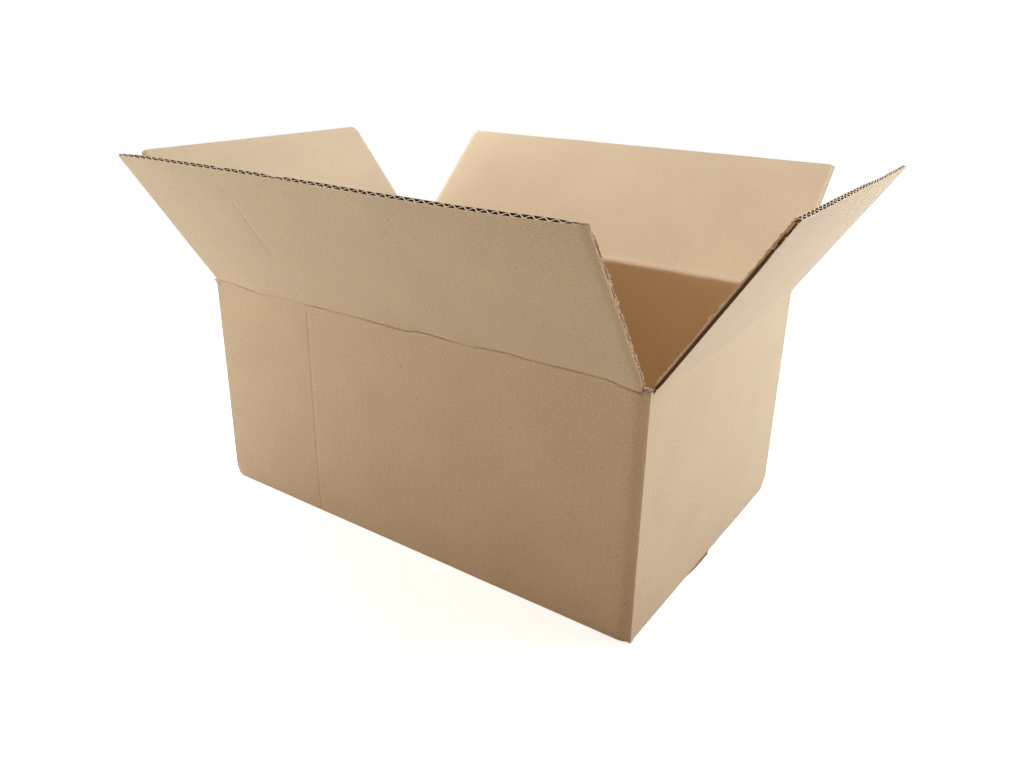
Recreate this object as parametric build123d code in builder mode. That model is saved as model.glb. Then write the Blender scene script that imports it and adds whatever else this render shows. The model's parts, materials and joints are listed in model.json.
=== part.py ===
from build123d import *
from math import atan2, cos, degrees, radians, sin, sqrt
import os

# Open regular slotted box of single wall corrugated board, folded from one blank.
# Origin at the middle of the underside, +X along the length, +Y to the back, +Z up.

# Room inside the closed box
inside_length = 350.0
inside_width = 230.0
inside_height = 150.0

# Corrugated board: two liners glued to a fluted sheet
board = 3.0
liner = 0.3
medium = 0.3
flute_pitch = 6.35
crest_flat = 1.0

# Blank: slots between the flaps, the seams where long flaps meet, and the glue tab
slot_inset = 4.65
flap_side_clearance = 0.4
seam_gap = 1.0
seam_offset = 1.0
tab_width = 35.0
tab_setback = 6.0
tab_taper = 8.0
joint_gap = 0.5

# Folds of the body
inner_fold_radius = 0.4
end_lift = 1.5
corner_lift = 1.2

# Creases of the top flaps: a rolled bead in a mitred, crushed score
bead_radius = 0.6
crease_clearance = 0.3
fold_gap = 0.15
score_round = 0.8
crush_depth = 5.0

# How far each top flap leans out from upright, in degrees
front_lean_angle = 34.0
back_lean_angle = 45.5
left_lean_angle = 42.5
right_lean_angle = 32.0

# Sizes that follow
half_length = inside_length / 2 + board
half_width = inside_width / 2 + board
outer_fold_radius = board + inner_fold_radius
long_panel = 2 * (half_length - slot_inset)
end_panel = 2 * (half_width - slot_inset)
floor_top = 2 * board
flap_depth = half_width + fold_gap - seam_gap / 2
mitre_gap = crease_clearance / sqrt(2)
end_crease = floor_top + inside_height + board + fold_gap
long_crease = end_crease + board + crease_clearance
end_rim = end_crease - fold_gap - mitre_gap
long_rim = long_crease - fold_gap - mitre_gap
bead_seat = bead_radius + crease_clearance

os.makedirs("parts", exist_ok=True)

# Box body: panels, vertical folds, glue tab and the glued bottom flaps
with BuildPart() as box_body:
    # Long panels, each turned under into a bottom flap, with a score along the top
    for side in (-1, 1):
        seam_edge = side * seam_gap / 2 - seam_offset
        with BuildSketch(Plane.YZ):
            with BuildLine():
                long_path = Polyline(
                    (side * half_width, outer_fold_radius),
                    (side * half_width, long_rim),
                    (side * (half_width - board), long_rim - board),
                    (side * (half_width - board), board),
                    (seam_edge, board),
                    (seam_edge, 0),
                    (side * (half_width - outer_fold_radius), 0),
                )
                RadiusArc(long_path @ 1, long_path @ 0, -side * outer_fold_radius)
            make_face()
            with Locations((side * (half_width + fold_gap), long_crease)):
                Circle(bead_seat, mode=Mode.SUBTRACT)
        extrude(amount=long_panel / 2, both=True)

    # End panels, whose bottom flaps lie inside, on the long ones
    for side in (-1, 1):
        with BuildSketch(Plane.XZ):
            with BuildLine():
                end_path = Polyline(
                    (side * half_length, end_lift + outer_fold_radius),
                    (side * half_length, end_rim),
                    (side * (half_length - board), end_rim - board),
                    (side * (half_length - board), floor_top),
                    (side * (half_length - flap_depth), floor_top),
                    (side * (half_length - flap_depth), board),
                    (side * long_panel / 2, board),
                    (side * (half_length - outer_fold_radius), end_lift),
                )
                RadiusArc(end_path @ 1, end_path @ 0, -side * outer_fold_radius)
            make_face()
            with Locations((side * (half_length + fold_gap), end_crease)):
                Circle(bead_seat, mode=Mode.SUBTRACT)
        extrude(amount=end_panel / 2, both=True)

    # Three vertical folds
    with BuildSketch(Plane.XY.offset(corner_lift)) as vertical_folds:
        with BuildLine():
            Polyline(
                (half_length - outer_fold_radius, -half_width),
                (long_panel / 2, -half_width),
                (long_panel / 2, -half_width + board),
                (half_length - outer_fold_radius, -half_width + board),
            )
            RadiusArc(
                (half_length - outer_fold_radius, -half_width + board),
                (half_length - board, -half_width + outer_fold_radius),
                -inner_fold_radius,
            )
            Polyline(
                (half_length - board, -half_width + outer_fold_radius),
                (half_length - board, -end_panel / 2),
                (half_length, -end_panel / 2),
                (half_length, -half_width + outer_fold_radius),
            )
            RadiusArc(
                (half_length, -half_width + outer_fold_radius),
                (half_length - outer_fold_radius, -half_width),
                outer_fold_radius,
            )
        make_face()
        near_fold = vertical_folds.face()
        mirror(near_fold, about=Plane.YZ)
        mirror(near_fold, about=Plane.XZ)
    extrude(amount=end_rim - corner_lift)

    # Fourth corner: the back panel turns inside the left one, whose cut end stays open to view
    joint_inside = -half_length + board
    with BuildSketch(Plane.XY.offset(corner_lift)):
        with BuildLine():
            Polyline(
                (-long_panel / 2, half_width),
                (joint_inside, half_width),
                (joint_inside, half_width - joint_gap),
                (-half_length, half_width - joint_gap),
                (-half_length, end_panel / 2),
                (joint_inside + board, end_panel / 2),
                (joint_inside + board, half_width - board),
                (-long_panel / 2, half_width - board),
                close=True,
            )
        make_face()
    extrude(amount=end_rim - corner_lift)
    with BuildSketch():
        with BuildLine():
            Polyline(
                (joint_inside, half_width - outer_fold_radius),
                (joint_inside, half_width),
                (joint_inside + outer_fold_radius, half_width),
            )
            RadiusArc(
                (joint_inside + outer_fold_radius, half_width),
                (joint_inside, half_width - outer_fold_radius),
                -outer_fold_radius,
            )
        make_face()
    extrude(amount=long_rim, mode=Mode.SUBTRACT)

    # Glue tab inside the left panel, cut back and tapered at both ends
    tab_bottom = floor_top + tab_setback
    tab_top = end_rim - board - tab_setback
    tab_root = end_panel / 2
    with BuildSketch(Plane.YZ.offset(joint_inside)):
        with BuildLine():
            Polyline(
                (tab_root, tab_bottom),
                (tab_root, tab_top),
                (tab_root - tab_width, tab_top - tab_taper),
                (tab_root - tab_width, tab_bottom + tab_taper),
                close=True,
            )
        make_face()
    extrude(amount=board)
box_body.part.label = "box_body"
export_step(box_body.part, "parts/box_body.step")


def make_flap(name, outward, reach, crease_height, lean_angle, panel):
    """One top flap: fluted board that ends in a crushed score with a bead on the fold line."""
    tilt = radians(lean_angle)
    up = Vector(0, 0, 1)
    rise = outward * sin(tilt) + up * cos(tilt)
    inward = up * sin(tilt) - outward * cos(tilt)
    along = inward.cross(rise)
    fold_line = outward * (reach + fold_gap) + up * crease_height
    length = panel - 2 * flap_side_clearance
    inner_face = fold_gap + board
    flute_height = board - 2 * liner - medium
    flute_base = flute_pitch - crest_flat - 2 * medium
    flank_angle = degrees(atan2(flute_height, (flute_base - crest_flat) / 2))
    count = int(length / flute_pitch) // 2 + 1
    outer_row = [(n * flute_pitch, -medium / 2) for n in range(-count, count + 1)]
    inner_row = [((n + 1 / 2) * flute_pitch, medium / 2) for n in range(-count - 1, count + 1)]
    mid_board = fold_line + inward * (fold_gap + board / 2)

    with BuildPart() as flap:
        # Fluted board, open at its cut edge
        with BuildSketch(Plane(mid_board + rise * crush_depth, x_dir=along, z_dir=rise)):
            Rectangle(length, board)
            with Locations(*outer_row):
                Trapezoid(flute_base, flute_height, flank_angle, mode=Mode.SUBTRACT)
            with Locations(*inner_row):
                Trapezoid(flute_base, flute_height, flank_angle, rotation=180, mode=Mode.SUBTRACT)
        extrude(amount=flap_depth - crush_depth)
        # Crushed score, mitred towards the fold line
        with BuildSketch(Plane(fold_line, x_dir=inward, z_dir=along)) as score:
            with BuildLine():
                Polyline(
                    (fold_gap, fold_gap + mitre_gap),
                    (fold_gap, crush_depth),
                    (inner_face, crush_depth),
                    (inner_face, inner_face + mitre_gap),
                    close=True,
                )
            make_face()
            rounded = score.vertices().sort_by_distance((inner_face, inner_face + mitre_gap))[0]
            fillet(rounded, score_round)
            Circle(bead_radius)
        extrude(amount=length / 2, both=True)
    flap.part.label = name
    export_step(flap.part, f"parts/{name}.step")


# Long flaps meet over the middle, short flaps fold in under them
make_flap("front_flap", Vector(0, -1, 0), half_width, long_crease, front_lean_angle, long_panel)
make_flap("back_flap", Vector(0, 1, 0), half_width, long_crease, back_lean_angle, long_panel)
make_flap("left_flap", Vector(-1, 0, 0), half_length, end_crease, left_lean_angle, end_panel)
make_flap("right_flap", Vector(1, 0, 0), half_length, end_crease, right_lean_angle, end_panel)
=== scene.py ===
import json
from math import radians, sin, cos, pi

import bpy
import numpy as np
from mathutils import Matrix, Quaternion, Vector


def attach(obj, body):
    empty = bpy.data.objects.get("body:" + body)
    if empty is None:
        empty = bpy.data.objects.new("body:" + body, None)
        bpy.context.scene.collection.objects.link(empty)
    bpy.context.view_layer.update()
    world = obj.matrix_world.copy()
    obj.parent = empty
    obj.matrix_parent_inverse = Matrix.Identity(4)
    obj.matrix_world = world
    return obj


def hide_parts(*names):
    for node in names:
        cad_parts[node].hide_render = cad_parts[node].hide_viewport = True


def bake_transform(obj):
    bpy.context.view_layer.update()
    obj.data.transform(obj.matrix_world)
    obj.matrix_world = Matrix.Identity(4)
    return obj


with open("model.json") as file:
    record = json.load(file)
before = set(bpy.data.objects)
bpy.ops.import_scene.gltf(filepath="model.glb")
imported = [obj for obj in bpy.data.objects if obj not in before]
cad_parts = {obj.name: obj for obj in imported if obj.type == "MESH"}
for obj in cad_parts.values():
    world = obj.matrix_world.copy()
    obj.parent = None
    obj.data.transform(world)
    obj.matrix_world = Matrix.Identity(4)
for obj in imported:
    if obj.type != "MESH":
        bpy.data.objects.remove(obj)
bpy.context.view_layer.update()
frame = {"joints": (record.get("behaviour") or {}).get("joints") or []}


# Box body
# Four walls and a glued bottom, folded from one sheet of corrugated board: a fluted paper glued between
# two kraft liners. The back wall's end is turned in as a tab and glued inside the left wall.
board = 0.0030
liner = 0.0003
fluting = 0.0006
flute_pitch = 0.00635
fold_radius = 0.0012
inside_radius = 0.0006
fold_gap = 0.00015
slot_inset = 0.00465
slot_clearance = 0.0001
end_lift = 0.0012
corner_lift = 0.0011
joint_gap = 0.0005
seam_gap = 0.0010
seam_offset = 0.0010
lip = 0.0060

up = np.array((0.0, 0.0, 1.0))
folds = {joint["child"]: joint for joint in frame["joints"]}
end_crease = folds["left_flap"]["pos_m"][2]
half_width = folds["back_flap"]["pos_m"][1] - fold_gap
half_length = folds["right_flap"]["pos_m"][0] - fold_gap
flap_depth = half_width + fold_gap - seam_gap / 2
post_rise = 0.0008
near_post_rise = 0.0028
post_top = end_crease + post_rise


class Wall:
    """One side of the box: its directions, reach from the middle, half length and crease height."""

    def __init__(self, name, middle):
        fold = folds[name + "_flap"]
        self.name = name
        self.along = np.array(fold["axis"], float)
        self.outward = np.cross(self.along, up)
        self.crease = fold["pos_m"][2]
        self.reach = abs(float(np.dot(fold["pos_m"], self.outward))) - fold_gap
        self.half = half_length if name in ("front", "back") else half_width
        self.panel = self.half - slot_inset
        self.lean = radians(-fold["range_deg"][0] - 90)
        self.middle = middle


walls = {
    "left": Wall("left", 0.0),
    "front": Wall("front", half_width + half_length),
    "right": Wall("right", 2 * half_width + 2 * half_length),
    "back": Wall("back", 3 * half_width + 3 * half_length),
}


def ease(share):
    share = np.clip(share, 0.0, 1.0)
    return share * share * (3 - 2 * share)


def waver(seed, along, spacing):
    """Smooth random unevenness from -1 to 1 along a line, with a turn about every spacing."""
    steps = np.random.default_rng(seed).uniform(-1.0, 1.0, 4096)
    at = np.asarray(along) / spacing + 2048
    low = np.floor(at).astype(int)
    share = ease(at - low)
    return steps[low] * (1 - share) + steps[low + 1] * share


def uneven(seed, along, deep, spacing):
    """Smooth random unevenness from -1 to 1 over a sheet."""
    steps = np.random.default_rng(seed).uniform(-1.0, 1.0, (512, 512))
    x = np.asarray(along) / spacing + 256
    y = np.asarray(deep) / spacing + 256
    x_low, y_low = np.floor(x).astype(int), np.floor(y).astype(int)
    x_share, y_share = ease(x - x_low), ease(y - y_low)
    near = steps[x_low, y_low] * (1 - x_share) + steps[x_low + 1, y_low] * x_share
    far = steps[x_low, y_low + 1] * (1 - x_share) + steps[x_low + 1, y_low + 1] * x_share
    return near * (1 - y_share) + far * y_share


class Sheets:
    """Closed thin sheets gathered into one mesh, each point with its place and layer on the flat board."""

    def __init__(self):
        self.points = []
        self.places = []
        self.faces = []
        self.finish = []
        self.count = 0

    def add(self, outer, inner, outer_place, inner_place, finishes):
        """A sheet between two grids of points, rows upward and columns along, closed round its rim."""
        rows, columns = outer.shape[:2]
        o = self.count + np.arange(rows * columns).reshape(rows, columns)
        i = o + rows * columns
        self.count += 2 * rows * columns
        for grid in (outer, inner):
            self.points.append(grid.reshape(-1, 3))
        for grid in (outer_place, inner_place):
            self.places.append(grid.reshape(-1, 3))
        face, back, rim, *top = finishes
        self.quads(face, o[:-1, :-1], o[:-1, 1:], o[1:, 1:], o[1:, :-1])
        self.quads(back, i[:-1, :-1], i[1:, :-1], i[1:, 1:], i[:-1, 1:])
        self.quads(rim, o[0, 1:], o[0, :-1], i[0, :-1], i[0, 1:])
        self.quads(top[0] if top else rim, o[-1, :-1], o[-1, 1:], i[-1, 1:], i[-1, :-1])
        self.quads(rim, o[:-1, 0], o[1:, 0], i[1:, 0], i[:-1, 0])
        self.quads(rim, o[1:, -1], o[:-1, -1], i[:-1, -1], i[1:, -1])

    def quads(self, finish, *corners):
        made = np.stack([corner.ravel() for corner in corners], 1)
        self.faces.append(made)
        self.finish.append(np.full(len(made), finish))


# The bottom's inside has a finish of its own: a darker paper that is painted shade for the inside of the
# box.
OUTER, INNER, CUT, FLUTES, TORN_PAINTED_LIGHT, BOTTOM_PAINTED_SHADE = range(6)
flute_steps = 8
fold_flattening = 0.2
flattened_band = 0.003


def add_board(sheets, place, columns, rows, flute_rows, middle, flute_shift=0.0, inside=INNER):
    """A piece of board with open flutes: outer liner, fluted paper and inner liner."""
    def layer(along, deep, height, side):
        point = place(along, deep, height)
        flat = np.stack(np.broadcast_arrays(along + middle, deep, side), -1)
        return point, flat

    deep, along = np.meshgrid(rows, columns, indexing="ij")
    for face, back, side in ((0.0, liner, 0.0), (board - liner, board, 1.0)):
        finishes = (OUTER, FLUTES, CUT) if side == 0.0 else (FLUTES, inside, CUT)
        outer, outer_place = layer(along, deep, np.full(along.shape, face), side)
        inner, inner_place = layer(along, deep, np.full(along.shape, back), side + 0.3)
        sheets.add(outer, inner, outer_place, inner_place, finishes)
    steps = int((columns[-1] - columns[0]) / flute_pitch * flute_steps)
    deep, along = np.meshgrid(flute_rows, np.linspace(columns[0], columns[-1], steps), indexing="ij")
    flattened = 1 - fold_flattening * np.exp(-((deep / flattened_band) ** 2))
    swing = (board - 2 * liner - fluting) / 2 * flattened
    turn = 2 * pi / flute_pitch
    slope = -swing * turn * np.sin(turn * (along - flute_shift))
    height = board / 2 + swing * np.cos(turn * (along - flute_shift))
    length = np.sqrt(1 + slope * slope)
    aside, rise = -slope / length * fluting / 2, fluting / length / 2
    outer, outer_place = layer(along - aside, deep, height - rise, 2.0)
    inner, inner_place = layer(along + aside, deep, height + rise, 2.3)
    sheets.add(outer, inner, outer_place, inner_place, (FLUTES, FLUTES, CUT))


# Pressed line down the front wall, and the strip beside the near corner that is bent in a little
pressed_line = -0.0803
pressed_depth = 0.00018
pressed_width = 0.0008
strip_width = 0.0085
strip_depth = 0.0015
wall_swell = {"front": 0.0005, "right": 0.0004, "back": 0.0003, "left": 0.0004}
wall_seed = {"front": 5, "right": 5, "back": 4, "left": 4}
wall_unevenness = 0.00012
unevenness_spacing = 0.035


def swell(wall, along, height):
    """How far a wall stands out from flat at a place along it and above the floor."""
    across = np.clip(1 - (along / wall.half) ** 2, 0, 1)
    out = wall_swell[wall.name] * across * np.sin(pi * np.clip(height / wall.crease, 0, 1))
    rough = uneven(wall_seed[wall.name], along, height, unevenness_spacing)
    out = out + wall_unevenness * across * rough
    if wall.name == "front":
        out = out - pressed_depth * np.exp(-(((along - pressed_line) / pressed_width) ** 2))
        out = out - strip_depth * np.clip((along - wall.half + strip_width) / strip_width, 0, 1)
    return out


column_pitch = 0.0030
slot_columns = 6
corner_columns = 8
turned_in_columns = 4
pressed_columns = 15
pressed_reach = 0.003


def wall_columns():
    """Each column of the walls: where its outer and inner faces stand, and what they swell with."""
    order = ["left", "front", "right", "back"]
    inside = board + inside_radius
    corner_length = 2 * (inside - fold_radius) + fold_radius * pi / 2
    found = []

    def add(wall, along, after, share, centre, turned, radius, past):
        """past is None on the flat, or an inside bend's middle along the wall and the share turned."""
        if past is None:
            within = (centre, turned, radius - board)
        else:
            end, part = past
            middle = wall.along * end + wall.outward * (wall.reach - inside)
            sweep = wall.outward * cos(part * pi / 2) + wall.along * sin(part * pi / 2)
            within = (middle, sweep, inside_radius)
        found.append((wall, along, after, share, (centre, turned, radius), within))

    for number, name in enumerate(order):
        wall = walls[name]
        after = walls[order[(number + 1) % 4]]
        corner = wall.half - board if name == "back" else wall.half
        first = -(wall.half - joint_gap) if name == "left" else -(wall.half - fold_radius)
        last = corner - fold_radius
        places = [
            np.linspace(first, -wall.panel, slot_columns),
            np.linspace(wall.panel, last, slot_columns) if wall.panel < last else [last],
            np.arange(-wall.panel + slot_clearance, wall.panel - slot_clearance, column_pitch),
            [wall.panel - slot_clearance],
        ]
        if name == "front":
            ends = (pressed_line - pressed_reach, pressed_line + pressed_reach)
            places.append(np.linspace(*ends, pressed_columns))
        for along in np.unique(np.round(np.concatenate(places), 7)):
            past = None
            if along > corner - inside:
                past = (corner - inside, (along - corner + inside) / corner_length)
            elif along < -wall.half + inside and name != "left":
                past = (-wall.half + inside, (along + wall.half - inside) / corner_length)
            add(wall, along, wall, 0.0, wall.along * along, wall.outward, wall.reach, past)
        centre = wall.along * last + wall.outward * (wall.reach - fold_radius)
        for share in np.linspace(0, 1, corner_columns)[1:-1]:
            turned = wall.outward * cos(share * pi / 2) + wall.along * sin(share * pi / 2)
            part = (inside - fold_radius + fold_radius * pi / 2 * share) / corner_length
            add(wall, last, after, share, centre, turned, fold_radius, (corner - inside, part))
        if name == "back":
            for down in np.linspace(0, slot_inset - fold_radius, turned_in_columns):
                spot = centre - wall.outward * down
                part = min(1.0, (inside - fold_radius + fold_radius * pi / 2 + down) / corner_length)
                add(wall, last, wall, 0.0, spot, wall.along, fold_radius, (corner - inside, part))
    return found


# Corners of the bottom that have been knocked in: where, how deep and how high
knocked = [
    (np.array((half_length, half_width, 0.0)), 0.0022, 0.009),
    (np.array((-half_length, -half_width, 0.0)), 0.0016, 0.007),
]
knock_stretch = np.array((1.0, 1.0, 0.8))


def add_walls(sheets):
    """The walls as one sheet round the box, from the joint at the back left corner and round to it."""
    columns = wall_columns()
    count = len(columns)
    around, bottom, top, crease = np.zeros(count), np.zeros(count), np.zeros(count), np.zeros(count)
    corner = np.zeros(count, bool)
    for number, (wall, along, _, share, *_) in enumerate(columns):
        corner[number] = abs(along) > wall.panel - slot_clearance / 2 or share > 0
        lift = 0.0 if wall.name in ("front", "back") else end_lift
        bottom[number] = corner_lift if corner[number] else lift
        near = (wall.name, along > 0) in (("front", True), ("right", False))
        top[number] = post_top + near_post_rise * near if corner[number] else wall.crease - lip
        crease[number] = wall.crease
        around[number] = wall.middle + along + share * fold_radius * pi / 2
    straight_rows = 40
    bend_rows = 6
    turn = np.linspace(pi / 2, 0, bend_rows + 1)[:-1, None]

    def surface(side, bend_radius, floor_height):
        """One face of the walls, outer (0) or inner (1), turned in under the box between the corners."""
        faces = [column[4 + side] for column in columns]
        centre, outward, radius = (np.array(values) for values in zip(*faces))
        bend_from = bottom + floor_height + bend_radius
        upward = np.linspace(0, 1, straight_rows)[:, None]
        level = np.concatenate([
            np.where(corner, bottom + (bend_from - bottom) * (1 - turn / (pi / 2)),
                     bend_from - bend_radius * np.sin(turn)),
            bend_from + (top - bend_from) * upward,
        ])
        grown = np.zeros(level.shape)
        for number, (wall, along, after, share, *_) in enumerate(columns):
            here = swell(wall, np.full(len(level), along), level[:, number])
            there = swell(after, np.full(len(level), -after.half), level[:, number])
            grown[:, number] = here * (1 - share) + there * share
        reach = radius + grown
        reach[:bend_rows] -= np.where(corner, 0.0, bend_radius * (1 - np.cos(turn)))
        point = centre + outward * reach[..., None] + up * level[..., None]
        for spot, deep, high in knocked:
            gone = np.linalg.norm((point - spot) * knock_stretch, axis=-1)
            push = deep * ease(1 - gone / high)
            toward = np.array((-np.sign(spot[0]), -np.sign(spot[1]), 0.0)) / 2 ** 0.5
            point = point + toward * push[..., None]
        flat = np.stack(np.broadcast_arrays(around, level - crease, float(side)), -1)
        return point, flat

    outer, outer_place = surface(0, fold_radius, 0.0)
    inner, inner_place = surface(1, inside_radius, board)
    sheets.add(outer, inner, outer_place, inner_place, (OUTER, INNER, CUT, FLUTES))


# The near bottom flap is glued askew, so that its end shows under the right wall beside the seam
skew = 0.0050
skew_from = 0.075
skew_band = 0.060
glue_gap = 0.0001
bottom_unevenness = 0.0001
bottom_spacing = 0.04
bottom_seed = 7
bottom_pitch = 0.006
# Shifts along the flat board that give the bottom and the tab a grain of their own
bottom_grain = 2.0
tab_grain = 5.0


def add_bottom(sheets):
    """The bottom flaps: short ones inside, on the long ones, which meet in a seam."""
    for name, wall in walls.items():
        long_wall = name in ("front", "back")
        fold_reach = wall.reach - board
        if long_wall:
            edge = seam_gap / 2 + seam_offset * wall.outward[1]
            base = 0.0
        else:
            edge = wall.reach - flap_depth
            base = board

        def place(along, deep, height, wall=wall, base=base, name=name):
            aside = along
            if name == "front":
                aside = along + skew * ease((skew_from - deep) / skew_band) * ease(along / half_length)
            rough = uneven(bottom_seed, along, deep, bottom_spacing)
            level = base + glue_gap + height + bottom_unevenness * rough
            return (wall.along * aside[..., None] + wall.outward * deep[..., None]
                    + up * np.asarray(level)[..., None])

        half = wall.panel - slot_clearance
        columns = np.linspace(-half, half, int(2 * half / bottom_pitch))
        rows = np.linspace(edge, fold_reach, 24)
        flute_rows = np.linspace(edge + 0.0002, fold_reach, 8)
        # The inner face of the bottom flaps takes the darker paper, painted shade for the inside of the
        # box.
        add_board(sheets, place, columns, rows, flute_rows, wall.middle + bottom_grain, inside=BOTTOM_PAINTED_SHADE)


tab_width = 0.035
tab_setback = 0.006
tab_taper = 0.008
tab_overlap = 0.0006


def add_tab(sheets):
    """The glue tab on the inside of the left wall, cut back and tapered at both ends."""
    wall = walls["left"]
    root = -wall.panel
    low, high = 2 * board + tab_setback, wall.crease - board - tab_setback

    def place(along, deep, height):
        cut = tab_taper * np.clip((along - root) / tab_width, 0, 1)
        level = low + cut + (high - low - 2 * cut) * deep
        reach = wall.reach - board - glue_gap - height + swell(wall, along, level)
        return wall.along * along[..., None] + wall.outward * reach[..., None] + up * level[..., None]

    columns = np.linspace(root - tab_overlap, root + tab_width, 16)
    add_board(sheets, place, columns, np.linspace(0, 1, 30), np.linspace(0.001, 0.999, 10), tab_grain)


def new_group(name, inputs, outputs):
    """A shader node group with named sockets, given as (name, kind, starting value)."""
    group = bpy.data.node_groups.new(name, "ShaderNodeTree")
    for label, kind, value in inputs:
        socket = group.interface.new_socket(label, in_out="INPUT", socket_type=kind)
        if value is not None:
            socket.default_value = value
    for label, kind in outputs:
        group.interface.new_socket(label, in_out="OUTPUT", socket_type=kind)
    return group, group.nodes.new("NodeGroupInput"), group.nodes.new("NodeGroupOutput")


def math_node(tree, operation, *values):
    node = tree.nodes.new("ShaderNodeMath")
    node.operation = operation
    for socket, value in zip(node.inputs, values):
        if isinstance(value, (int, float)):
            socket.default_value = value
        else:
            tree.links.new(value, socket)
    return node.outputs[0]


def stretched(tree, place, x, y, z):
    node = tree.nodes.new("ShaderNodeVectorMath")
    node.operation = "MULTIPLY"
    tree.links.new(place, node.inputs[0])
    node.inputs[1].default_value = (x, y, z)
    return node.outputs[0]


def noise(tree, place, scale, detail):
    node = tree.nodes.new("ShaderNodeTexNoise")
    node.inputs["Scale"].default_value = scale
    node.inputs["Detail"].default_value = detail
    tree.links.new(place, node.inputs["Vector"])
    return node.outputs["Fac"]


def ramp(tree, value, low, high, to_low, to_high):
    node = tree.nodes.new("ShaderNodeMapRange")
    limits = {"From Min": low, "From Max": high, "To Min": to_low, "To Max": to_high}
    for label, number in limits.items():
        node.inputs[label].default_value = number
    tree.links.new(value, node.inputs["Value"])
    return node.outputs["Result"]


def mixed(tree, factor, first, second, way="MIX"):
    node = tree.nodes.new("ShaderNodeMix")
    node.data_type = "RGBA"
    node.blend_type = way
    for socket, value in ((node.inputs[0], factor), (node.inputs[6], first), (node.inputs[7], second)):
        if isinstance(value, (int, float, tuple)):
            socket.default_value = value
        else:
            tree.links.new(value, socket)
    return node.outputs[2]


def flecks(tree, place, scale, size, share):
    """Short fibres and specks: a mask of small spots, of which a share is kept."""
    cells = tree.nodes.new("ShaderNodeTexVoronoi")
    cells.inputs["Scale"].default_value = scale
    tree.links.new(place, cells.inputs["Vector"])
    spot = ramp(tree, cells.outputs["Distance"], size * 0.5, size, 1.0, 0.0)
    parts = tree.nodes.new("ShaderNodeSeparateColor")
    tree.links.new(cells.outputs["Color"], parts.inputs[0])
    kept = math_node(tree, "LESS_THAN", parts.outputs[0], share)
    return math_node(tree, "MULTIPLY", math_node(tree, "MULTIPLY", spot, kept), parts.outputs[1])


def kraft_paper_group():
    """Kraft paper: clouding, fibre grain, pale and dark flecks, and the flutes showing through in the bump
    and as faint painted shade across their ridges.
    """
    group, given, made = new_group(
        "kraft_paper",
        [
            ("Place", "NodeSocketVector", None),
            ("Paper", "NodeSocketColor", (0.5, 0.5, 0.5, 1)),
            ("Flutes", "NodeSocketFloat", 1.0),
            ("Flecks", "NodeSocketFloat", 1.0),
            ("Grain", "NodeSocketFloat", 1.0),
        ],
        [
            ("Colour", "NodeSocketColor"),
            ("Roughness", "NodeSocketFloat"),
            ("Height", "NodeSocketFloat"),
        ],
    )
    place = given.outputs["Place"]
    cloud = noise(group, place, 22.0, 3.0)
    formation = noise(group, place, 800.0, 3.0)
    grain = noise(group, stretched(group, place, 500.0, 1500.0, 1.0), 1.0, 2.0)
    parts = group.nodes.new("ShaderNodeSeparateXYZ")
    group.links.new(place, parts.inputs[0])
    ridge = math_node(group, "MULTIPLY", parts.outputs[0], 2 * pi / flute_pitch)
    ridge = math_node(group, "SINE", ridge)
    ridge = math_node(group, "MULTIPLY", ridge, given.outputs["Flutes"])
    shade = math_node(group, "ADD", ramp(group, formation, 0.3, 0.7, -0.085, 0.085),
                      ramp(group, grain, 0.3, 0.7, -0.07, 0.07))
    shade = math_node(group, "MULTIPLY", shade, given.outputs["Grain"])
    shade = math_node(group, "ADD", shade, ramp(group, cloud, 0.3, 0.7, -0.035, 0.035))
    # The flutes also stripe the colour a little: painted shade of their ridges.
    shade = math_node(group, "ADD", shade, math_node(group, "MULTIPLY", ridge, 0.008))
    shade = math_node(group, "ADD", shade, 1.0)
    grey = group.nodes.new("ShaderNodeCombineColor")
    for socket in grey.inputs:
        group.links.new(shade, socket)
    colour = mixed(group, 1.0, given.outputs["Paper"], grey.outputs[0], "MULTIPLY")
    dark = flecks(group, stretched(group, place, 150.0, 230.0, 1.0), 1.0, 0.11, 0.36)
    dark = math_node(group, "MULTIPLY", dark, 0.75)
    dark = math_node(group, "MULTIPLY", dark, given.outputs["Flecks"])
    colour = mixed(group, dark, colour, (0.13, 0.075, 0.035, 1))
    pale = flecks(group, stretched(group, place, 110.0, 260.0, 1.3), 1.0, 0.11, 0.25)
    pale = math_node(group, "MULTIPLY", pale, 0.6)
    pale = math_node(group, "MULTIPLY", pale, given.outputs["Flecks"])
    colour = mixed(group, pale, colour, (0.78, 0.66, 0.50, 1))
    group.links.new(colour, made.inputs["Colour"])
    group.links.new(ramp(group, cloud, 0.3, 0.7, 0.80, 0.88), made.inputs["Roughness"])
    height = math_node(group, "ADD", math_node(group, "MULTIPLY", formation, 0.000002),
                       math_node(group, "MULTIPLY", ridge, 0.000005))
    group.links.new(height, made.inputs["Height"])
    return group


kraft_paper = kraft_paper_group()


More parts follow.
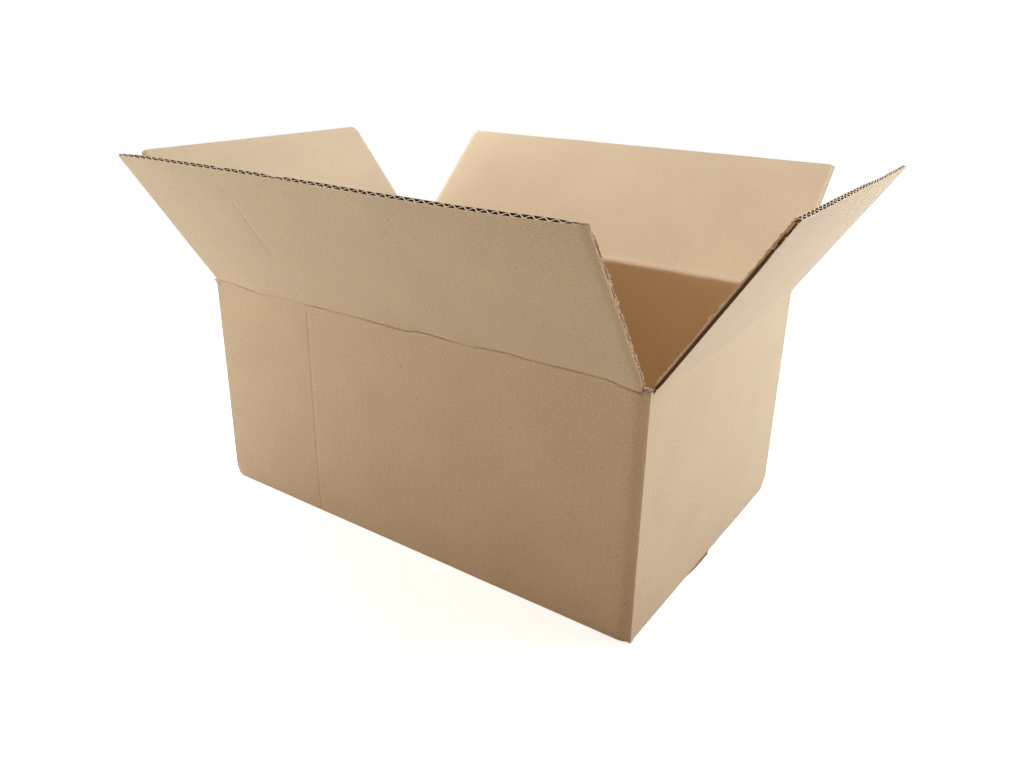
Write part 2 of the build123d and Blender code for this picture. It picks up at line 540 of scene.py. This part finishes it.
def paper_finish(name, colour, flutes=0.0, fleck=0.5, grain=1.0, bump=0.3, gloss=0.0, sheen=0.0):
    """Matte kraft paper of one colour, with its grain laid out on the flat board."""
    material = bpy.data.materials.new(name)
    material.use_nodes = True
    tree = material.node_tree
    shader = tree.nodes["Principled BSDF"]
    paper = tree.nodes.new("ShaderNodeGroup")
    paper.node_tree = kraft_paper
    paper.inputs["Paper"].default_value = colour
    paper.inputs["Flutes"].default_value = flutes
    paper.inputs["Flecks"].default_value = fleck
    paper.inputs["Grain"].default_value = grain
    flat = tree.nodes.new("ShaderNodeAttribute")
    flat.attribute_name = "sheet_place"
    tree.links.new(flat.outputs["Vector"], paper.inputs["Place"])
    relief = tree.nodes.new("ShaderNodeBump")
    relief.inputs["Distance"].default_value = 1.0
    relief.inputs["Strength"].default_value = bump
    tree.links.new(paper.outputs["Height"], relief.inputs["Height"])
    tree.links.new(paper.outputs["Colour"], shader.inputs["Base Color"])
    tree.links.new(paper.outputs["Roughness"], shader.inputs["Roughness"])
    tree.links.new(relief.outputs["Normal"], shader.inputs["Normal"])
    shader.inputs["Specular IOR Level"].default_value = gloss
    shader.inputs["Sheen Weight"].default_value = sheen
    return material


outer_paper = {"flutes": 1.0, "fleck": 1.3, "grain": 1.2, "bump": 0.6, "gloss": 0.12, "sheen": 0.22}
inner_paper = {"flutes": 0.7, "fleck": 0.5, "grain": 0.55, "bump": 0.6, "gloss": 0.12}
outer_kraft = paper_finish("outer_kraft", (0.59, 0.425, 0.257, 1), **outer_paper)
inner_kraft = paper_finish("inner_kraft", (0.60, 0.43, 0.265, 1), **inner_paper)
cut_kraft = paper_finish("cut_kraft", (0.72, 0.56, 0.38, 1), fleck=0.3)
fluted_kraft = paper_finish("fluted_kraft", (0.30, 0.185, 0.12, 1))
# Torn fibres are paler than the liner, and this paper is paler still: a painted highlight for the light
# that the fuzzy torn edge catches.
torn_kraft_and_painted_light = paper_finish("torn_kraft_and_painted_light", (0.84, 0.64, 0.42, 1), fleck=0.0)
# The bottom's inside is a darker paper than the walls: painted shade for the shade deep inside the box.
bottom_kraft_painted_shade = paper_finish("bottom_kraft_painted_shade", (0.40, 0.25, 0.125, 1), **inner_paper)
board_finishes = [outer_kraft, inner_kraft, cut_kraft, fluted_kraft, torn_kraft_and_painted_light, bottom_kraft_painted_shade]
sharp_angle = radians(38)


def make_piece(name, sheets):
    """One mesh object from gathered sheets, smooth but for its real edges."""
    mesh = bpy.data.meshes.new(name)
    mesh.from_pydata(np.concatenate(sheets.points).tolist(), [], np.concatenate(sheets.faces).tolist())
    kept = mesh.attributes.new("sheet_place", "FLOAT_VECTOR", "POINT")
    kept.data.foreach_set("vector", np.concatenate(sheets.places).astype(np.float32).ravel())
    for finish in board_finishes:
        mesh.materials.append(finish)
    mesh.polygons.foreach_set("material_index", np.concatenate(sheets.finish).astype(np.int32))
    mesh.shade_smooth()
    mesh.set_sharp_from_angle(angle=sharp_angle)
    piece = bpy.data.objects.new(name, mesh)
    bpy.context.scene.collection.objects.link(piece)
    return piece


body_sheets = Sheets()
add_walls(body_sheets)
add_bottom(body_sheets)
add_tab(body_sheets)
box_shell = make_piece("box_shell", body_sheets)
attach(box_shell, "box")
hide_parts("box_body")


# Front flap
# The near long flap, one sheet with the front wall below it. The crease is scored and crushed across the
# flutes, and the outer liner has puckered along it where the flap has been pushed outward.
def fold_tables(steps, lean):
    """Angle, outward reach and rise of a sheet that bends in steps of (from, to, share of the lean)."""
    table = np.arange(-2 * lip, flap_depth + 0.008, 0.00005)
    angle = lean * sum(share * ease((table - start) / (end - start)) for start, end, share in steps)
    middle = (angle[1:] + angle[:-1]) / 2
    pace = table[1] - table[0]
    out = np.concatenate([[0], np.cumsum(np.sin(middle))]) * pace
    rise = table[0] + np.concatenate([[0], np.cumsum(np.cos(middle))]) * pace
    return table, angle, out, rise


tooth_pitch = 0.0005
tooth_root = 0.0006


def add_fringe(sheets, place, end, height, reach, seed, spans):
    """Torn fibres along a side of a flap: a ragged strip that stands out from one layer of the board."""
    draw = np.random.default_rng(seed)
    for start, stop in spans:
        deep = np.arange(0.001 + start * flap_depth, stop * flap_depth - 0.0004, tooth_pitch)
        teeth = np.clip(draw.gamma(1.2, 0.8, len(deep) + 2), 0.0, 2.2)
        teeth = (0.25 * teeth[:-2] + 0.5 * teeth[1:-1] + 0.25 * teeth[2:]) * reach
        curl = draw.uniform(-0.1, 1.0, len(deep)) * teeth
        share = np.array((0.0, 0.5, 0.8, 1.0))
        far = np.concatenate([[-tooth_root * np.ones(len(deep))], share[1:, None] * teeth]).T
        along = np.sort(end + np.sign(end) * far, axis=1)
        lift = curl[:, None] * share ** 2
        half_thick = liner * 0.36 * (1 - 0.75 * share)
        if end < 0:
            lift, half_thick = lift[:, ::-1], half_thick[::-1]
        level = height + lift
        rows = np.broadcast_to(deep[:, None], along.shape)
        flat = np.stack(np.broadcast_arrays(along, rows, 3.0), -1)
        outer = place(along, rows, level - half_thick)
        inner = place(along, rows, level + half_thick)
        # The fringe takes the pale torn paper, partly its own colour and partly painted highlight.
        sheets.add(outer, inner, flat, flat, (TORN_PAINTED_LIGHT, TORN_PAINTED_LIGHT, TORN_PAINTED_LIGHT))


# The unevenness of a flap: how much, and how far apart its turns are
crease_wander, wander_spacing = 0.0002, 0.006
edge_wear, wear_spacing = 0.03, 0.017
pucker_least, pucker_spread, pucker_spacing = 0.65, 0.5, 0.018
flap_unevenness, flap_spacing = 0.00025, 0.05
streak_spacing, streak_fade = 0.0019, 0.05
# The pinched line of the fold and the ridges beside it, and the bands that edges and ends work within
pinch_depth, pinch_width = 0.0012, 0.00032
ridge_height, ridge_away, ridge_width = 0.0002, 0.0015, 0.0010
edge_band = 0.012
closed_band = 0.0025
splay_band = 0.03


def make_flap(
    name, seed, crease_line, bends, pucker, crush, score=0.0006, bulge=0.0,
    turned=(0.0,), longer=(0.0,), splay=((0, 0), (0, 0)), rounded=(0.0, 0.0), closed=(0.0, 0.0),
    streaks=0.0, pressed=(), crushed=(), torn=(), flute_shift=0.0,
):
    """A top flap that runs on a little way down its wall, so that the paper crosses the crease.

    bends are the fold's steps at the first and the last end of the flap. The outer liner puckers along the
    fold, and the board there is thinner by the share crush up to the height score, with a bulge inside.
    turned and longer move the free edge inward and onward, by amounts at even places along it. splay
    widens each end at its root and tip, rounded takes off its corner and closed presses its liners
    together. pressed are lines of (root, tip, depth, width), crushed are places on the free edge of
    (place, width, share of the thickness), and torn are fringes of (end, layer, reach, spans). streaks is
    the depth of fine wrinkles that fade from the fold, and flute_shift moves the flutes along.
    """
    wall = walls[name]
    half = wall.panel - slot_clearance
    tables = [fold_tables(steps, wall.lean) for steps in bends]
    line_at = np.array([spot for spot, _ in crease_line])
    line_up = np.array([rise for _, rise in crease_line])
    turned, longer = (
        np.polyfit(np.linspace(-1, 1, len(amounts)), amounts, len(amounts) - 1)
        for amounts in (turned, longer)
    )

    def place(along, deep, height):
        share = np.clip(deep / flap_depth, 0, 1)
        grown = deep + share * np.polyval(longer, along / half)
        shift = np.interp(along, line_at, line_up) + crease_wander * waver(seed, along, wander_spacing)
        shift = shift * ease((deep + lip) / 0.002)
        past = grown - shift
        settled = shift * ease((deep - 0.001) / 0.009)
        last = ease((along / half - 0.1) / 0.9)
        tilt, out, rise = (
            np.interp(past, tables[0][0], tables[0][column]) * (1 - last)
            + np.interp(past, tables[1][0], tables[1][column]) * last
            for column in (1, 2, 3)
        )
        out = out + settled * sin(wall.lean)
        rise = rise + shift - settled * (1 - cos(wall.lean))
        above, below = ease((past - score) / 0.0016), ease(-past / 0.0028)
        thick = 1 - crush * (1 - np.maximum(above, below))
        edge = ease((deep - flap_depth + edge_band) / edge_band)
        lost = edge_wear * (1 + waver(seed + 1, along, wear_spacing))
        for spot, width, part in crushed:
            lost = np.maximum(lost, part * np.exp(-(((along - spot) / width) ** 2)))
        thick = thick * (1 - edge * lost)
        for way, part in zip((-1, 1), closed):
            thick = thick * (1 - part * ease((way * along - half + closed_band) / closed_band))
        strength = pucker * (pucker_least + pucker_spread * waver(seed + 2, along, pucker_spacing))
        pinch = pinch_depth * np.exp(-((past / pinch_width) ** 2))
        pinch = pinch - ridge_height * np.exp(-(((np.abs(past) - ridge_away) / ridge_width) ** 2))
        outside = np.clip(1 - height / board, 0, 1)
        stand = -swell(wall, along, wall.crease + np.minimum(deep, 0.0))
        stand = stand + share * np.polyval(turned, along / half)
        stand = stand + flap_unevenness * share * uneven(seed + 3, along, deep, flap_spacing)
        fading = np.exp(-np.maximum(deep, 0) / streak_fade)
        stand = stand + streaks * waver(seed + 4, along, streak_spacing) * fading
        for foot, tip, deepest, width in pressed:
            line = foot + (tip - foot) * share
            stand = stand + deepest * np.exp(-(((along - line) / width) ** 2)) * ease(deep / 0.004)
        aside = along
        for way, (root_more, tip_more), corner in zip((-1, 1), splay, rounded):
            near = np.clip((way * along - half + splay_band) / splay_band, 0, 1)
            more = root_more + (tip_more - root_more) * share
            aside = aside + way * near * more * ease((deep + 0.001) / 0.003)
            if corner:
                left = np.clip(flap_depth - deep, 0, corner)
                gone = corner - np.sqrt(np.maximum(corner ** 2 - (corner - left) ** 2, 0))
                reached = np.clip((way * along - half + 2 * corner) / (2 * corner), 0, 1)
                aside = aside - way * gone * reached
        roll = bulge * (1 - outside) * ease((past + 0.0020) / 0.0016) * ease((0.0046 - past) / 0.0032)
        inset = height * thick + strength * pinch * outside + roll + stand
        reach = wall.reach + out - inset * np.cos(tilt)
        level = wall.crease + rise + inset * np.sin(tilt)
        return wall.along * aside[..., None] + wall.outward * reach[..., None] + up * level[..., None]

    end_steps = np.arange(3) * 0.0006
    columns = np.linspace(-half, half, int(2 * half / 0.0017))
    columns = np.unique(np.concatenate([columns, half - end_steps, end_steps - half]))
    rows = np.concatenate([
        [-lip, -0.005, -0.004, -0.0034],
        np.arange(-0.0030, 0.00301, 0.0002),
        [0.0034, 0.004, 0.005, 0.0065, 0.008],
        np.linspace(0.011, flap_depth - 0.008, 24),
        flap_depth - np.array((6.0, 4.5, 3.2, 2.2, 1.4, 0.8, 0.3, 0.0)) / 1000,
    ])
    flute_rows = np.concatenate([
        [-lip + 0.0003, -0.004],
        np.arange(-0.003, 0.0031, 0.0006),
        [0.004, 0.006, 0.009],
        np.linspace(0.02, flap_depth - 0.012, 6),
        flap_depth - np.array((8.0, 5.0, 3.0, 1.5, 0.0)) / 1000,
    ])
    sheets = Sheets()
    add_board(sheets, place, columns, rows, flute_rows, wall.middle, flute_shift)
    for number, (way, height, reach, spans) in enumerate(torn):
        add_fringe(sheets, place, way * half, height, reach, seed + 10 + number, spans)
    flap = make_piece(name + "_flap_board", sheets)
    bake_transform(flap)
    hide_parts(name + "_flap")


front_crease_line = [
    (-0.173, 0.0004), (-0.155, 0.0008), (-0.133, -0.0014), (-0.117, -0.0015), (-0.110, -0.0005),
    (-0.080, -0.0007), (-0.050, -0.0008), (-0.026, -0.0006), (0.009, -0.0014), (0.0145, -0.0008),
    (0.018, 0.0005), (0.037, 0.0003), (0.064, -0.0008), (0.068, 0.0005), (0.088, 0.0014), (0.103, 0.0007),
    (0.133, 0.0010), (0.152, 0.0011), (0.158, 0.0), (0.162, -0.0009), (0.171, -0.0021),
]
sharp_fold = [(-0.0008, 0.0008, 1.0)]
outer_layer, middle_layer, inner_layer = liner / 2, board / 2, board - liner / 2
make_flap(
    "front", 11, front_crease_line, (sharp_fold, sharp_fold), pucker=0.9, crush=0.3,
    turned=(0.0, 0.0, -0.0010, -0.0032, -0.0036), longer=(0.0, 0.0, 0.0, 0.0007, 0.0030),
    splay=((0.0018, -0.0006), (0.0006, 0.0014)), closed=(0.3, 0.2),
    pressed=[(pressed_line - 0.0027, pressed_line + 0.0017, 0.00012, 0.0009)],
    crushed=[(-0.175, 0.016, 0.45), (-0.073, 0.004, 0.35), (-0.026, 0.007, 0.45), (0.176, 0.014, 0.65)],
    torn=[(1, outer_layer, 0.0002, [(0.0, 1.0)]), (1, inner_layer, 0.0005, [(0.0, 1.0)]),
          (1, middle_layer, 0.0005, [(0.0, 0.06), (0.10, 0.19), (0.22, 0.33), (0.37, 0.46), (0.49, 0.60),
                                     (0.64, 0.71), (0.76, 0.83), (0.90, 0.97)])],
)


# Back flap
# The far long flap, leaning out furthest. Its inside shows the score as a pale rounded band along the fold.
rounded_fold = [(-0.0023, 0.0003, 1.0)]
make_flap(
    "back", 21, [(-0.17, 0.0), (0.0, 0.0003), (0.17, 0.0)], (rounded_fold, rounded_fold), pucker=0.6,
    crush=0.04, score=0.0024, bulge=0.0003, turned=(0.0, 0.0016), longer=(-0.0004, 0.0014),
    splay=((0.0010, 0.0010), (0.0068, 0.0042)), rounded=(0.0, 0.002), closed=(0.75, 0.4),
    pressed=[(0.0685, 0.0638, 0.00015, 0.0012)],
)


# Left flap
# The far short flap, folded under the long ones when the box is shut. One of its corners is worn round.
left_fold = [(-0.0012, 0.0012, 1.0)]
make_flap(
    "left", 31, [(-0.11, 0.0), (0.0, 0.0004), (0.11, 0.0)], (left_fold, left_fold), pucker=0.6, crush=0.3,
    turned=(0.0024, 0.0), longer=(0.0049, 0.0034), splay=((0.0, 0.0020), (0.0, 0.0)),
    rounded=(0.0055, 0.001), closed=(0.5, 0.5),
)


# Right flap
# The near short flap. Its fold is wrinkled and its far end bends twice. The near edge is cut along an
# open flute.
near_fold = [(-0.0008, 0.0010, 1.0)]
far_fold = [(-0.0012, 0.0016, 0.50), (0.0052, 0.0102, 0.53)]
make_flap(
    "right", 41, [(-0.11, 0.0), (0.0, 0.0002), (0.11, 0.0)], (near_fold, far_fold), pucker=0.3, crush=0.3,
    turned=(-0.0008, -0.0004), longer=(0.0008, 0.0014), closed=(0.0, 0.5), streaks=0.00008,
    crushed=[(0.055, 0.075, 0.42)], flute_shift=0.0010,
    torn=[(-1, inner_layer, 0.0008, [(0.0, 1.0)]), (-1, outer_layer, 0.0006, [(0.0, 0.06), (0.80, 0.995)]),
          (-1, middle_layer, 0.0010, [(0.84, 0.88), (0.92, 0.99)])],
)


# Torn fibres
# Shreds of liner at the roots of the slots, left where the slots were punched and the corners were
# pulled open.
def add_shred(sheets, root, toward, side, length, width, curl, finish, taper=0.6):
    """A thin strip of paper that leaves its root in one direction and curls round the side direction."""
    toward = np.array(toward, float) / np.linalg.norm(toward)
    side = np.array(side, float) / np.linalg.norm(side)
    normal = np.cross(toward, side)
    share = np.linspace(0, 1, 9)
    turn = curl * share
    step = length / (len(share) - 1)
    pieces = np.cos(turn)[:, None] * toward + np.sin(turn)[:, None] * normal
    path = np.array(root) + np.concatenate([np.zeros((1, 3)), np.cumsum(pieces[:-1] * step, axis=0)])
    across = width / 2 * (1 - taper * share ** 2)
    thick = liner * 0.4
    lift = -np.sin(turn)[:, None] * toward + np.cos(turn)[:, None] * normal
    grid = path[:, None] + side * np.stack([-across, across], 1)[..., None]
    flat = np.stack(np.broadcast_arrays(across[:, None], share[:, None], np.array((3.0, 3.2))), -1)
    raised = lift[:, None] * thick / 2
    sheets.add(grid - raised, grid + raised, flat, flat, (finish,) * 3)


shreds = Sheets()
near_post = np.array((half_length, -half_width, post_top + near_post_rise))
for shift, toward, side, length, width, curl in (
    ((-0.0044, 0.0002, 0.0012), (0.8, -0.3, 0.5), (0.2, 0.9, 0.3), 0.0034, 0.0012, -1.2),
    ((-0.0030, 0.0003, -0.0002), (-0.4, -0.5, 0.6), (0.8, -0.3, 0.2), 0.0020, 0.0010, 1.0),
    ((-0.0016, 0.0004, -0.0003), (0.5, -0.3, 0.9), (0.6, 0.7, -0.1), 0.0024, 0.0009, 1.6),
    ((-0.0006, 0.0010, -0.0003), (0.3, 0.2, 1.0), (-0.5, 0.8, 0.0), 0.0030, 0.0012, -1.9),
    ((0.0000, 0.0026, -0.0006), (0.4, -0.6, 0.5), (0.5, 0.7, 0.4), 0.0022, 0.0009, 1.3),
    ((0.0001, 0.0012, -0.0030), (0.6, -0.4, -0.5), (0.2, 0.6, -0.7), 0.0016, 0.0008, -0.8),
    ((-0.0040, -0.0001, -0.0014), (-0.5, -0.5, -0.5), (0.7, -0.2, -0.6), 0.0018, 0.0008, 0.7),
):
    add_shred(shreds, near_post + np.array(shift), toward, side, length, width, curl, OUTER)
draw = np.random.default_rng(71)
for number, step in enumerate(np.linspace(-slot_inset, slot_inset, 20)):
    root = near_post + np.array((min(step, 0) + 0.0002, max(step, 0) - 0.0002, -0.0008))
    toward = np.array((draw.uniform(-0.6, 0.8), draw.uniform(-0.8, 0.5), draw.uniform(0.3, 1.0)))
    side = np.cross(toward, draw.normal(size=3))
    length, width, curl = draw.uniform(0.0008, 0.0024), draw.uniform(0.0003, 0.0007), draw.uniform(-2, 2)
    finish = OUTER if number % 2 else FLUTES
    add_shred(shreds, root, toward, side, length, width, curl, finish)
left_post = np.array((-half_length, -half_width, post_top))
for shift, toward, side, length, width, curl in (
    ((0.0046, 0.0005, 0.0014), (-0.97, -0.06, 0.22), (0.05, 0.05, 0.99), 0.0078, 0.0038, 0.1),
    ((0.0044, 0.0012, 0.0006), (-0.95, -0.10, 0.10), (0.05, 0.20, 0.97), 0.0052, 0.0030, -0.2),
):
    add_shred(shreds, left_post + np.array(shift), toward, side, length, width, curl, OUTER, 0.95)
torn_fibres = make_piece("torn_fibres", shreds)
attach(torn_fibres, "box")


# Floor, light and camera
# A plain white floor, large soft lamps and a camera that looks down at the box from beside its near corner.
floor_size = 12.0
bpy.ops.mesh.primitive_plane_add(size=floor_size, location=(0, 0, 0))
floor = bpy.context.object
floor.name = "floor"
floor_white = bpy.data.materials.new("floor_white")
floor_white.use_nodes = True
floor_tree = floor_white.node_tree
floor_shader = floor_tree.nodes["Principled BSDF"]
floor_shader.inputs["Base Color"].default_value = (0.78, 0.72, 0.64, 1)
floor_shader.inputs["Roughness"].default_value = 1.0
floor_shader.inputs["Specular IOR Level"].default_value = 0.0
floor_shader.inputs["Emission Color"].default_value = (1, 1, 1, 1)
light_path = floor_tree.nodes.new("ShaderNodeLightPath")
seen = light_path.outputs["Is Camera Ray"]
for ray in ("Is Glossy Ray", "Is Transmission Ray"):
    seen = math_node(floor_tree, "MAXIMUM", seen, light_path.outputs[ray])
floor_glow = 0.70
glow = math_node(floor_tree, "MULTIPLY", seen, floor_glow)
floor_tree.links.new(glow, floor_shader.inputs["Emission Strength"])
fade_from = 0.35
shadow_reach = 0.85
spot = floor_tree.nodes.new("ShaderNodeNewGeometry")
away = floor_tree.nodes.new("ShaderNodeVectorMath")
away.operation = "LENGTH"
floor_tree.links.new(spot.outputs["Position"], away.inputs[0])
fade = ramp(floor_tree, away.outputs["Value"], fade_from, shadow_reach, 0.0, 1.0)
fade = math_node(floor_tree, "MULTIPLY", fade, seen)
clear = floor_tree.nodes.new("ShaderNodeBsdfTransparent")
edge = floor_tree.nodes.new("ShaderNodeMixShader")
floor_tree.links.new(fade, edge.inputs[0])
floor_tree.links.new(floor_shader.outputs[0], edge.inputs[1])
floor_tree.links.new(clear.outputs[0], edge.inputs[2])
floor_tree.links.new(edge.outputs[0], floor_tree.nodes["Material Output"].inputs["Surface"])
floor.data.materials.append(floor_white)

world = bpy.data.worlds.new("studio")
bpy.context.scene.world = world
world.use_nodes = True
sky = world.node_tree
white = sky.nodes["Background"]
white.inputs["Color"].default_value = (1, 1, 1, 1)
path = sky.nodes.new("ShaderNodeLightPath")
shown = path.outputs["Is Camera Ray"]
for ray in ("Is Glossy Ray", "Is Transmission Ray"):
    shown = math_node(sky, "MAXIMUM", shown, path.outputs[ray])
sky.links.new(shown, white.inputs["Strength"])


def soft_lamp(name, around, above, away, size, colour):
    """A large square lamp that faces the box, and gives the light of its colour at the box's middle."""
    turn, rise = radians(around), radians(above)
    middle = Vector((0.0, 0.0, 0.12))
    place = away * Vector((sin(turn) * cos(rise), -cos(turn) * cos(rise), sin(rise)))
    level = max(colour)
    lamp = bpy.data.lights.new(name, "AREA")
    lamp.shape = "SQUARE"
    lamp.size = size
    lamp.energy = level * (pi * away) ** 2
    lamp.color = [part / level for part in colour]
    holder = bpy.data.objects.new(name, lamp)
    holder.location = place
    holder.rotation_mode = "QUATERNION"
    holder.rotation_quaternion = (middle - place).to_track_quat("-Z", "Y")
    bpy.context.scene.collection.objects.link(holder)


soft_lamp("top_lamp", 200, 75, 1.8, 1.0, (0.80, 0.95, 1.13))
soft_lamp("left_lamp", 293, 14, 0.95, 0.4, (0.58, 0.62, 0.70))
soft_lamp("left_high_lamp", 255, 32, 0.95, 0.4, (0.52, 0.57, 0.63))
soft_lamp("right_lamp", 105, 8, 1.2, 0.5, (0.38, 0.43, 0.50))
soft_lamp("right_high_lamp", 120, 35, 0.95, 0.4, (0.30, 0.36, 0.42))
soft_lamp("front_lamp", 330, 35, 0.95, 0.4, (0.12, 0.13, 0.105))
soft_lamp("near_lamp", 45, 45, 1.4, 0.6, (0.12, 0.05, 0.01))

camera_place = (0.34466, -0.49030, 0.33080)
camera_turn = radians(34.524)
camera_down = radians(20.866)
camera_roll = radians(0.968)
camera = bpy.data.cameras.new("camera")
camera.lens = 29.386
camera.shift_x = 0.00278
camera.shift_y = -0.02137
view = bpy.data.objects.new("camera", camera)
ahead = cos(camera_down)
looking = Vector((-sin(camera_turn) * ahead, cos(camera_turn) * ahead, -sin(camera_down)))
view.rotation_mode = "QUATERNION"
view.rotation_quaternion = looking.to_track_quat("-Z", "Y") @ Quaternion((0, 0, 1), camera_roll)
view.location = camera_place
bpy.context.scene.collection.objects.link(view)
bpy.context.scene.camera = view
bpy.context.scene.view_settings.view_transform = "Standard"
